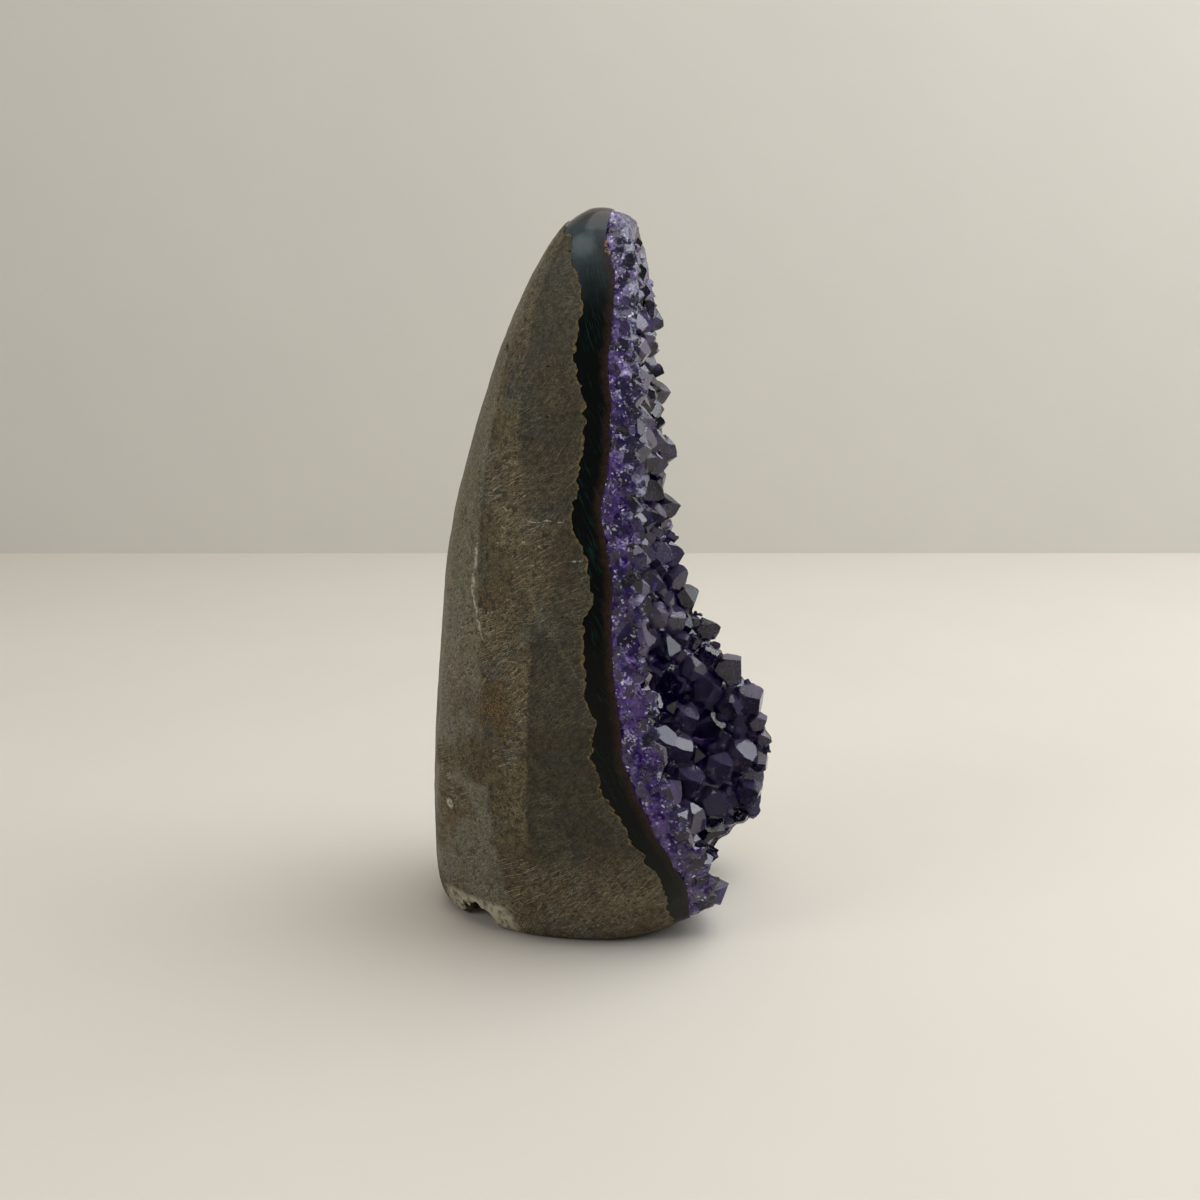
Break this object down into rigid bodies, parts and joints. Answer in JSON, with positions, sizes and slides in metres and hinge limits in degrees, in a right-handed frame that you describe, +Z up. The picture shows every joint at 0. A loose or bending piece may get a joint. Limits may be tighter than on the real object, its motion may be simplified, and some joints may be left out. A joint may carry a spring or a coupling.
{
  "type": "amethyst point",
  "caption": "Standing piece of amethyst geode, ground smooth at back and sides, with a dark agate rind and a crystal-lined hollow in front, on a flat cut base.",
  "frame": {"origin": "middle of the bounding box's bottom, on the surface it stands on", "axes": "+Z up to the tip, the crystal-lined hollow faces -Y, +X to the right as seen from the front"},
  "size_m": [0.048, 0.056, 0.115],
  "materials": {
    "basalt": "ground, matt, olive grey-brown",
    "agate": "polished, dark green to black, with a brown inner margin",
    "amethyst": "clear to milky violet quartz with natural flat faces"
  },
  "bodies": {
    "root": {"basalt_matrix": "basalt", "agate_rind": "agate", "amethyst_crust": "amethyst"}
  },
  "joints": []
}
